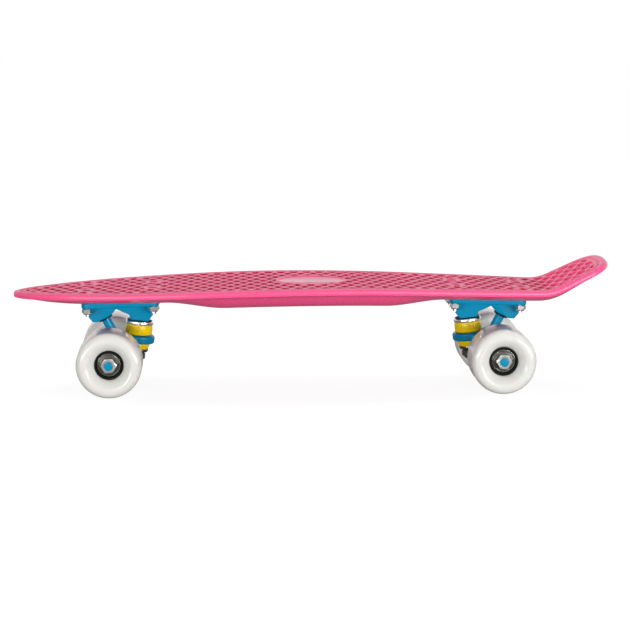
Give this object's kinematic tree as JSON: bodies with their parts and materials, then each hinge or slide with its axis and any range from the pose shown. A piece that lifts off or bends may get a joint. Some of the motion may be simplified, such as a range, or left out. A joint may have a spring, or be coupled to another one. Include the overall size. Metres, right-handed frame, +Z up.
{
  "type": "mini cruiser skateboard",
  "caption": "Mini cruiser skateboard with an arched plastic deck, kick tail, sprung trucks and free-rolling wheels.",
  "frame": {"origin": "on the ground under the middle of the board's box", "axes": "+X along the board towards the kick tail, +Y to the board's right-hand side, +Z up from the ground"},
  "size_m": [0.5552, 0.149, 0.1173],
  "materials": {
    "deck_plastic": "glossy moulded pink plastic",
    "blue_casting": "gloss blue paint on cast aluminium",
    "white_urethane": "smooth off-white polyurethane",
    "yellow_urethane": "smooth yellow polyurethane",
    "black_plastic": "satin black plastic",
    "bright_chrome": "bright plated steel",
    "bare_steel": "ground steel"
  },
  "bodies": {
    "board": {"deck": "deck_plastic", "front_baseplate": "blue_casting", "front_kingpin": "bare_steel", "front_kingpin_nut": "bare_steel", "front_pivot_cup": "black_plastic", "front_upper_washer": "bright_chrome", "front_upper_bushing": "yellow_urethane", "front_lower_bushing": "yellow_urethane", "front_lower_washer": "bright_chrome", "front_1_bolt": "bright_chrome", "front_1_lock_nut": "bright_chrome", "front_2_bolt": "bright_chrome", "front_2_lock_nut": "bright_chrome", "front_3_bolt": "bright_chrome", "front_3_lock_nut": "bright_chrome", "front_4_bolt": "bright_chrome", "front_4_lock_nut": "bright_chrome", "rear_baseplate": "blue_casting", "rear_kingpin": "bare_steel", "rear_kingpin_nut": "bare_steel", "rear_pivot_cup": "black_plastic", "rear_upper_washer": "bright_chrome", "rear_upper_bushing": "yellow_urethane", "rear_lower_bushing": "yellow_urethane", "rear_lower_washer": "bright_chrome", "rear_1_bolt": "bright_chrome", "rear_1_lock_nut": "bright_chrome", "rear_2_bolt": "bright_chrome", "rear_2_lock_nut": "bright_chrome", "rear_3_bolt": "bright_chrome", "rear_3_lock_nut": "bright_chrome", "rear_4_bolt": "bright_chrome", "rear_4_lock_nut": "bright_chrome"},
    "front_hanger_body": {"front_hanger": "blue_casting", "front_axle": "bare_steel", "front_left_axle_nut": "bright_chrome", "front_right_axle_nut": "bright_chrome"},
    "front_left_wheel": {"front_left_tyre": "white_urethane", "front_left_core": "black_plastic", "front_left_outer_bearing": "bare_steel", "front_left_inner_bearing": "bare_steel"},
    "front_right_wheel": {"front_right_tyre": "white_urethane", "front_right_core": "black_plastic", "front_right_outer_bearing": "bare_steel", "front_right_inner_bearing": "bare_steel"},
    "rear_hanger_body": {"rear_hanger": "blue_casting", "rear_axle": "bare_steel", "rear_left_axle_nut": "bright_chrome", "rear_right_axle_nut": "bright_chrome"},
    "rear_left_wheel": {"rear_left_tyre": "white_urethane", "rear_left_core": "black_plastic", "rear_left_outer_bearing": "bare_steel", "rear_left_inner_bearing": "bare_steel"},
    "rear_right_wheel": {"rear_right_tyre": "white_urethane", "rear_right_core": "black_plastic", "rear_right_outer_bearing": "bare_steel", "rear_right_inner_bearing": "bare_steel"}
  },
  "joints": [
    {"name": "front_steer", "type": "hinge", "parent": "board", "child": "front_hanger_body", "pos_m": [-0.16246, 0, 0.0443], "axis": [-0.8048, 0, 0.5935], "range_deg": [-14, 14], "stiffness_Nm_per_rad": 35, "deforming": ["front_upper_bushing", "front_lower_bushing"]},
    {"name": "front_left_spin", "type": "hinge", "parent": "front_hanger_body", "child": "front_left_wheel", "pos_m": [-0.18657, -0.0525, 0.02998], "axis": [0, 1, 0], "continuous": true},
    {"name": "front_right_spin", "type": "hinge", "parent": "front_hanger_body", "child": "front_right_wheel", "pos_m": [-0.18657, 0.0525, 0.02998], "axis": [0, 1, 0], "continuous": true},
    {"name": "rear_steer", "type": "hinge", "parent": "board", "child": "rear_hanger_body", "pos_m": [0.14933, 0, 0.0443], "axis": [0.8048, 0, 0.5935], "range_deg": [-14, 14], "stiffness_Nm_per_rad": 35, "deforming": ["rear_upper_bushing", "rear_lower_bushing"]},
    {"name": "rear_left_spin", "type": "hinge", "parent": "rear_hanger_body", "child": "rear_left_wheel", "pos_m": [0.17344, -0.0525, 0.02998], "axis": [0, 1, 0], "continuous": true},
    {"name": "rear_right_spin", "type": "hinge", "parent": "rear_hanger_body", "child": "rear_right_wheel", "pos_m": [0.17344, 0.0525, 0.02998], "axis": [0, 1, 0], "continuous": true}
  ]
}
